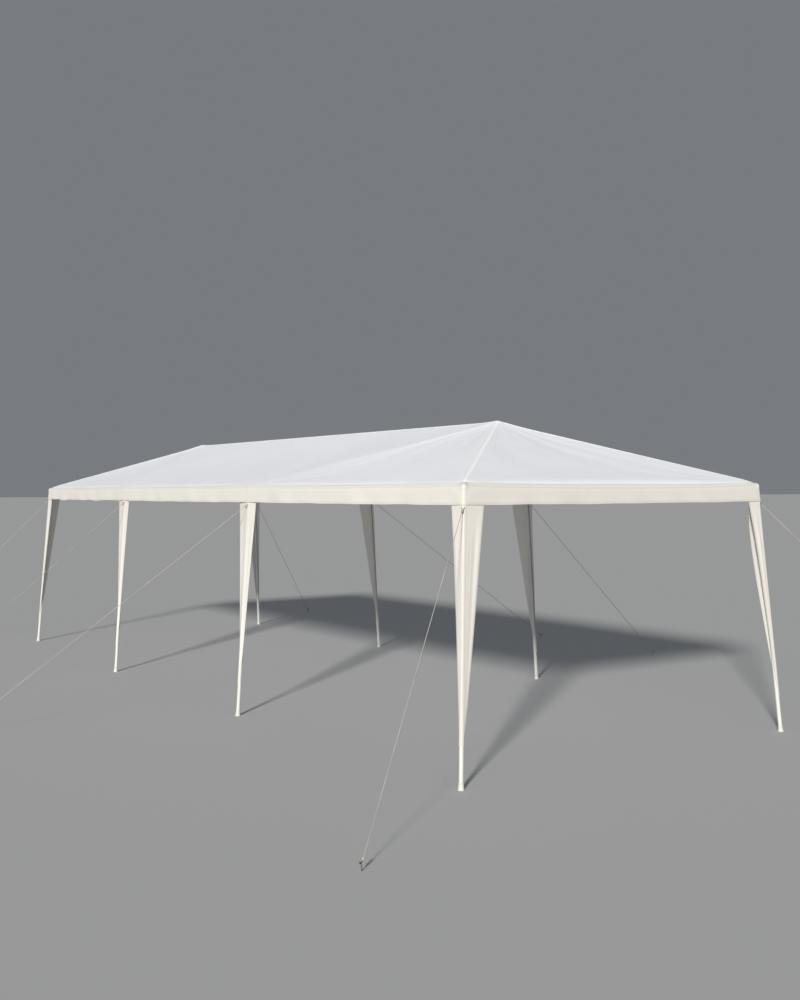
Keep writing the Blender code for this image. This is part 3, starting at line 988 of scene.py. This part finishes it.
def ridge_strip(cover):
    """The tape that lies over the ridge between the peaks."""
    front, back = ROUND.index("front_mid_left"), ROUND.index("back_mid_right")
    reaches = np.linspace(0, cover.tape / 2, 4)
    lift = cover.cloth / 2 + SEWN
    halves = []
    for index, way in ((front, 1), (back, -1)):
        points, out = Cover.span(slice(None), index)
        halves.append(sampled_up((points + out * lift)[::-1, ::way][:14], reaches))
    halves[0][0] = halves[1][0] = (halves[0][0] + halves[1][0]) / 2 + np.array([0, 0, lift / 2])
    strip = np.concatenate([halves[0][::-1], halves[1][1:]])
    across = from_edge(np.concatenate([-reaches[::-1], reaches[1:]]))
    return strip, flat_grid(across[:, None], lengths(strip[len(reaches)])[None])


def peak_patch(end, cover):
    """The round patch of doubled cloth that is sewn over a peak, where the tapes end."""
    radii = np.linspace(0, cover.peak_patch, 10)[:, None]
    turns = np.linspace(0, 2 * pi, 49)[None, :]
    along, across = radii * np.cos(turns), radii * np.sin(turns)
    side_fall = (RIDGE - EDGE) / (SIDE_Y + COVER_OUT) * abs(across)
    end_fall = (RIDGE - EDGE) / (CORNER_X + COVER_OUT - PEAK_X) * np.maximum(along, 0)
    # The slopes meet in a soft round, raised over the joint as the roof is
    level = RIDGE - (side_fall ** 5 + end_fall ** 5) ** 0.2 + peak_rise(radii, cover) + cover.cloth / 2 + OVER_TRIMS
    patch = np.stack([ENDS[end] * (PEAK_X + along), ENDS[end] * across, level], -1)
    return patch, flat_grid(cover.peak_patch - radii, cover.peak_patch * turns)


class MARQUEE_OT_make_valance(MarqueeOperator, bpy.types.Operator):
    """Make the valance: a strip on each side with a hem, a bound top edge and a strip over each corner"""

    bl_idname = "marquee.make_valance"
    bl_label = "Make valance"

    def build(self, cover, hardware):
        rows = slice(0, SEAM_ROW + 1)
        lift = cover.cloth / 2 + SEWN
        look = "valance_seam_look", "valance_sheeting"
        for place, spans in STRIPS.items():
            patches = cover_patches(rows, spans)
            strip = woven(f"valance_{place}_cloth", patches, cover.cloth)
            finish_piece(strip, "valance_sheeting_look", [f"valance_{place}"])
            tapes = {
                "hem": tape_along(spans, np.linspace(0, 0.018, 4), lift),
                "band": tape_along(spans, np.linspace(0.002, 0.012, 3), lift, upward=False),
            }
            trims = [sewn(f"valance_{part}_{place}", tape, THICK[part], *look) for part, tape in tapes.items()]
            wide = float(np.mean([lengths(points)[-1].mean() for points, _ in patches]))
            size_of = (sum(span_length(index) for index in spans), wide)
        reaches = np.linspace(-cover.strip / 2, cover.strip / 2, 9)
        for index in CORNERS:
            strip = tape_across(rows, index * COLUMNS, reaches, lift + OVER_TRIMS)
            sewn(f"valance_strip_{ROUND[index]}", [strip], THICK["strip"], *look)


def span_length(index):
    """The length of one span's edge."""
    (edge_a, _, _), (edge_b, _, _) = span_ends(index)
    return float(np.linalg.norm(edge_b - edge_a))


class MARQUEE_OT_make_drapes(MarqueeOperator, bpy.types.Operator):
    """Make the leg drapes: a tapered curtain round the outer side of each leg"""

    bl_idname = "marquee.make_drapes"
    bl_label = "Make drapes"

    def build(self, cover, hardware):
        across = np.linspace(-1, 1, DRAPE_ACROSS + 1)
        heights = np.linspace(DRAPE_END, DRAPE_TOP, DRAPE_DOWN + 1)
        hem, seam = np.linspace(0, 0.012, 4), np.linspace(-0.004, 0.004, 3)
        for leg in LEGS:
            patch = drape_patch(leg, across, heights, cover)
            drape = woven(f"drape_{leg}_cloth", [patch], cover.cloth)
            finish_piece(drape, "drape_sheeting_look", [f"drape_{leg}"])
            sewn_on = {"hems": [(-1, hem), (1, hem)]}
            if LEGS[leg][2]:  # a corner drape is two leaves, seamed over the leg
                sewn_on["seam"] = [(0, seam)]
            for label, strips in sewn_on.items():
                tapes = [drape_tape(leg, way, reaches, heights, cover) for way, reaches in strips]
                sewn(f"drape_{label}_{leg}", tapes, THICK["drape"], "drape_seam_look", "drape_sheeting")
            size_of = (2 * drape_width(leg, HEM, cover), DRAPE_TOP - DRAPE_END)
            sheet_area(patch[0])


class MARQUEE_OT_make_legs(MarqueeOperator, bpy.types.Operator):
    """Make the legs: two tubes that slide together, held by a spring button, in a moulded boot"""

    bl_idname = "marquee.make_legs"
    bl_label = "Make legs"

    def build(self, cover, hardware):
        lap = hardware.leg_lap
        upper = turned("upper", [(TUBE, SEAT), (TUBE, 1 - 0.008), (TUBE + 0.0007, 1 - 0.006), (TUBE + 0.0007, 1)])
        lower = turned("lower", [(TUBE, 0.008), (TUBE, lap), (TUBE - 0.0009, lap + 0.004), (TUBE - 0.0009, lap + 0.05)])
        boot = turned("boot", [
            (FOOT_RADIUS, -0.01), (FOOT_RADIUS, 0.004), (0.0224, 0.0065), (0.0198, 0.018), (0.0186, 0.032),
            (0.0186, 0.040), (0.0194, 0.0415), (0.0194, FOOT_HEIGHT), (0.0178, 0.0465),
        ], 32)
        button = spring_button()
        for leg in LEGS:
            top, ground = leg_top(leg), leg_axis(leg, 0)
            axis = (top - ground).normalized()
            at = ground + axis * (lap + 0.045)
            inward = -outward(leg)
            inward = inward - axis * inward.dot(axis)
            parts = {
                "leg_upper": [(upper, placing(top, ground)), (button, placing(at, at + inward))],
                "leg_lower": [(lower, placing(ground, top))],
                "leg_boot": [(boot, placing(ground, top))],
            }
            for label, copies in parts.items():
                thing = gathered(f"{label}_{leg}", copies)
                if label == "leg_boot":  # its sole is cut level with the ground
                    bpy.ops.object.mode_set(mode="EDIT")
                    bpy.ops.mesh.select_all(action="SELECT")
                    bpy.ops.mesh.bisect(plane_co=(0, 0, 0), plane_no=(0, 0, 1), use_fill=True, clear_inner=True)
                    finish_shape()
                look = "moulded_boot" if label == "leg_boot" else "powder_coated_steel"
                finish_piece(thing, look, [f"leg_{leg}"])
        drop(upper, lower, boot, button)


def pole_ends():
    """Each pole's two joint centres, by its node's name."""
    ends = {"ridge_pole": (peak_over(-1), peak_over(1))}
    for leg, (along, _, _) in LEGS.items():
        ends[f"rafter_{leg}"] = (leg_top(leg), peak_over(along))
    for side in SIDES:
        tops = [leg_top(f"{side}_{station}") for station in STATIONS]
        for part, first, second in zip(("left", "middle", "right"), tops, tops[1:]):
            ends[f"eave_{side}_{part}"] = (first, second)
    for end in ENDS:
        ends[f"eave_{end}_end"] = (leg_top(f"front_{end}"), leg_top(f"back_{end}"))
    return ends


class MARQUEE_OT_make_poles(MarqueeOperator, bpy.types.Operator):
    """Make the eave poles, the rafters and the ridge pole: two tubes each, lapped at the middle"""

    bl_idname = "marquee.make_poles"
    bl_label = "Make poles"

    def build(self, cover, hardware):
        masters = {}
        button = spring_button()
        for name, (start, end) in pole_ends().items():
            length = round((end - start).length, 5)
            if length not in masters:
                half = length / 2
                masters[length] = turned("pole", [
                    (TUBE, SEAT), (TUBE, half - 0.006), (TUBE - 0.0009, half - 0.003), (TUBE - 0.0009, half),
                    (TUBE + 0.0007, half + 0.0004), (TUBE + 0.0007, half + 0.006), (TUBE, half + 0.008),
                    (TUBE, length - SEAT),
                ])
            at = start.lerp(end, 0.5) + (end - start).normalized() * 0.045
            down = Vector((0, 0, -1))
            down = down - (end - start) * down.dot(end - start) / (end - start).length_squared
            pole = gathered(f"{name}_tubes", [(masters[length], placing(start, end)), (button, placing(at, at + down))])
            finish_piece(pole, "powder_coated_steel", [name])
        drop(button, *masters.values())


def spot(point):
    """A point rounded to 0.1 mm, to tell joints apart."""
    return tuple(round(part, 4) for part in point)


class MARQUEE_OT_make_joint_fittings(MarqueeOperator, bpy.types.Operator):
    """Make what the joints carry: a rolled collar, a weld bead and a spring button on each socket"""

    bl_idname = "marquee.make_joint_fittings"
    bl_label = "Make joint fittings"

    def build(self, cover, hardware):
        collar = turned("collar", [
            (SLEEVE - 0.0006, SOCKET - 0.005), (SLEEVE + 0.001, SOCKET - 0.0042), (SLEEVE + 0.001, SOCKET - 0.0004),
            (SLEEVE - 0.0002, SOCKET + 0.0006),
        ])
        bead = turned("bead", [
            (SLEEVE - 0.0006, 0.0105), (SLEEVE + 0.0012, 0.0122), (SLEEVE + 0.0014, 0.0138), (SLEEVE - 0.0004, 0.0156),
        ])
        button = spring_button()
        joints = {spot(leg_top(leg)): f"joint_{leg}" for leg in LEGS}
        joints |= {spot(peak_over(way)): f"peak_joint_{end}" for end, way in ENDS.items()}
        runs = [way for ends in pole_ends().values() for way in (ends, ends[::-1])]
        runs += [(leg_top(leg), leg_axis(leg, 0)) for leg in LEGS]
        sockets = {}
        for here, there in runs:
            sockets.setdefault(joints[spot(here)], []).append((here, there))
        for name, ways in sockets.items():
            parts = []
            for here, there in ways:
                way = (there - here).normalized()
                under = Vector((0, 0, -1)) if abs(way.z) < 0.9 else Vector((-here.x, -here.y, 0)).normalized()
                at = here + way * 0.058 + (SLEEVE - TUBE) * under
                under = under - way * under.dot(way)
                parts += [(piece, placing(here, there)) for piece in (collar, bead)]
                parts.append((button, placing(at, at + under)))
            finish_piece(gathered(f"{name}_fittings", parts), "coated_joint")
        drop(collar, bead, button)


def hooked_peg():
    """A round steel peg, drawn up from the ground, bent over into a hook and finished with a rounded tip."""
    deselect()
    bpy.ops.mesh.primitive_circle_add(vertices=14, radius=PEG, fill_type="NGON", location=(0, 0, 0))
    peg = bpy.context.object
    bpy.ops.object.mode_set(mode="EDIT")
    bpy.ops.mesh.select_all(action="SELECT")
    bpy.ops.mesh.extrude_region_move(TRANSFORM_OT_translate={"value": (0, 0, PEG_SHAFT)})
    bpy.ops.mesh.spin(steps=14, angle=pi, center=(PEG_HOOK, 0, PEG_SHAFT), axis=(0, 1, 0))
    bpy.ops.mesh.extrude_region_move(TRANSFORM_OT_translate={"value": (0, 0, -PEG_TIP)})
    bpy.ops.mesh.bevel(offset=0.0012, segments=2, affect="EDGES")
    bpy.ops.mesh.select_all(action="SELECT")
    bpy.ops.mesh.remove_doubles(threshold=0.00001)
    finish_shape()
    return peg


def flat_sided_ring():
    """A wire ring with one flat side, lying across the upright axis with its flat side towards +Y."""
    deselect()
    bpy.ops.mesh.primitive_torus_add(major_radius=0.0105, minor_radius=0.0016, major_segments=28, minor_segments=10)
    ring = bpy.context.object
    bpy.ops.object.mode_set(mode="EDIT")
    bpy.ops.mesh.select_all(action="DESELECT")
    bpy.ops.object.mode_set(mode="OBJECT")
    for vertex in ring.data.vertices:
        vertex.select = vertex.co.y > 0.0052
    bpy.ops.object.mode_set(mode="EDIT")
    bpy.ops.transform.resize(value=(1.12, 0.35, 1), center_override=(0, 0.0052, 0))
    finish_shape()
    return ring


class MARQUEE_OT_make_guy_lines(MarqueeOperator, bpy.types.Operator):
    """Make the guy lines: a twisted rope from a ring at each leg's top to a hooked peg"""

    bl_idname = "marquee.make_guy_lines"
    bl_label = "Make guy lines"

    def build(self, cover, hardware):
        peg, ring = hooked_peg(), flat_sided_ring()
        for name in LEGS:
            top, tie, slant, away = guy_run(name)
            across = away.cross(Vector((0, 0, 1)))
            eye = top + slant * 0.0155  # where the rope's eye closes below the ring
            foot = tie - slant * 0.016
            count = int((foot - eye).length / 0.004)
            path = eye_path(top + slant * 0.006, eye, across, slant)
            path += [eye.lerp(foot, step / count) for step in range(1, count)]
            path += eye_path(tie + away * 0.001, foot, across, -slant)[::-1]
            rope = tube(f"guy_rope_{name}", path, ROPE, 12, 3, hardware.strand_pitch)
            finish_piece(rope, "twisted_rope", [f"guy_line_{name}"])
            for label, knot, way in (("top", eye, slant), ("foot", foot, -slant)):
                wraps = []
                for step in range(4 * 16 + 1):  # four turns round the rope, each a rope's width on
                    turn = 2 * pi * step / 16
                    side_of = across * cos(turn) + across.cross(way) * sin(turn)
                    wraps.append(knot + way * (0.002 + WRAP * step / 16) + WRAP * side_of)
                finish_piece(tube(f"guy_knot_{label}_{name}", wraps, ROPE, 10), "twisted_rope")
            hold = Matrix((across, -slant, across.cross(-slant))).transposed().to_4x4()
            held = gathered(f"guy_ring_{name}", [(ring, Matrix.Translation(top) @ hold)])
            finish_piece(held, "galvanised_steel")
            turn = Matrix((away, Vector((0, 0, 1)).cross(away), Vector((0, 0, 1)))).transposed().to_4x4()
            stake = gathered(f"guy_peg_{name}", [(peg, Matrix.Translation(tie - Vector((0, 0, TIE_HEIGHT))) @ turn)])
            finish_piece(stake, "galvanised_steel", [f"guy_line_{name}"])
        drop(peg, ring)


def eye_path(far, closed, across, way):
    """A rope's eye: from where it closes, round what it holds, and back."""
    middle_of = (far + closed) / 2
    half = (closed - far).length / 2
    points = []
    for step in range(17):
        turn = 2 * pi * step / 16
        points.append(middle_of + way * half * cos(turn) + across * 0.0062 * sin(turn))
    return points


class MARQUEE_OT_set_stage(bpy.types.Operator):
    """Set the pale floor, the soft lights and the camera at the photo's angle"""

    bl_idname = "marquee.set_stage"
    bl_label = "Set stage"

    def execute(self, context):
        settings = context.scene.marquee_stage
        deselect()
        bpy.ops.mesh.primitive_circle_add(vertices=96, radius=400, fill_type="NGON", location=(0, 0, 0))
        floor = context.object
        floor.name = "floor"
        grained("pale_floor", settings.floor_colour, settings.floor_colour, 0.85, 0.05, 0.0001)
        floor.data.materials.append(bpy.data.materials["pale_floor"])
        world = bpy.data.worlds.new("studio")
        context.scene.world = world
        world.use_nodes = True
        back = world.node_tree.nodes["Background"]
        back.inputs["Color"].default_value = srgb(settings.sky_colour)
        back.inputs["Strength"].default_value = settings.sky
        key = bpy.data.lights.new("key", "SUN")
        key.energy, key.angle, key.color = settings.key, 0.1, (1.0, 0.965, 0.915)
        lamp = bpy.data.objects.new("key", key)
        context.scene.collection.objects.link(lamp)
        lamp.rotation_mode = "QUATERNION"
        lamp.rotation_quaternion = Vector(KEY_FROM).to_track_quat("Z", "Y")
        context.scene.view_settings.view_transform = "Standard"
        add_camera(context)
        return {"FINISHED"}


KEY_FROM = (0.615, -0.705, 0.353)  # the way from the tent to the main light
CAMERA_PLACE = (10.6497, -6.1352, 1.956)
CAMERA_AZIMUTH = radians(56.1192)
CAMERA_DOWN = radians(0.4935)
CAMERA_ROLL = radians(-0.2317)
CAMERA_LENS = 41.758


def add_camera(context):
    """The camera at the photo's viewpoint."""
    data = bpy.data.cameras.new("camera")
    data.lens = CAMERA_LENS
    data.clip_end = 1000
    camera = bpy.data.objects.new("camera", data)
    context.scene.collection.objects.link(camera)
    ahead = Vector((-sin(CAMERA_AZIMUTH) * cos(CAMERA_DOWN), cos(CAMERA_AZIMUTH) * cos(CAMERA_DOWN), -sin(CAMERA_DOWN)))
    right = Vector((cos(CAMERA_AZIMUTH), sin(CAMERA_AZIMUTH), 0))
    up = right.cross(ahead)
    level = Matrix((right, up, -ahead)).transposed()
    camera.matrix_world = Matrix.Translation(CAMERA_PLACE) @ (level @ Matrix.Rotation(CAMERA_ROLL, 3, "Z")).to_4x4()
    context.scene.camera = camera


OPERATORS = (
    MARQUEE_OT_set_stage,
    MARQUEE_OT_mix_finishes,
    MARQUEE_OT_make_roof,
    MARQUEE_OT_make_valance,
    MARQUEE_OT_make_drapes,
    MARQUEE_OT_make_legs,
    MARQUEE_OT_make_poles,
    MARQUEE_OT_make_joint_fittings,
    MARQUEE_OT_make_guy_lines,
)


class MARQUEE_PT_panel(bpy.types.Panel):
    """The marquee's steps, in order"""

    bl_idname = "MARQUEE_PT_panel"
    bl_label = "Party marquee"
    bl_space_type = "VIEW_3D"
    bl_region_type = "UI"
    bl_category = "Marquee"

    def draw(self, context):
        for operator in OPERATORS:
            self.layout.operator(operator.bl_idname)
        for group in (context.scene.marquee_cover, context.scene.marquee_hardware, context.scene.marquee_stage):
            for key in group.__annotations__:
                self.layout.prop(group, key)


GROUPS = {
    "marquee_cover": MarqueeCoverSettings,
    "marquee_hardware": MarqueeHardwareSettings,
    "marquee_stage": MarqueeStageSettings,
}


def register():
    """Register the settings, the operators and the panel."""
    for kind in (*GROUPS.values(), *OPERATORS, MARQUEE_PT_panel):
        bpy.utils.register_class(kind)
    for name, group in GROUPS.items():
        setattr(bpy.types.Scene, name, bpy.props.PointerProperty(type=group))


def unregister():
    """Take them out again."""
    for name in GROUPS:
        delattr(bpy.types.Scene, name)
    for kind in (MARQUEE_PT_panel, *reversed(OPERATORS), *GROUPS.values()):
        bpy.utils.unregister_class(kind)


def main():
    """Build the marquee step by step."""
    register()
    for operator in OPERATORS:
        module, name = operator.bl_idname.split(".")
        getattr(getattr(bpy.ops, module), name)()


if __name__ == "__main__":
    main()
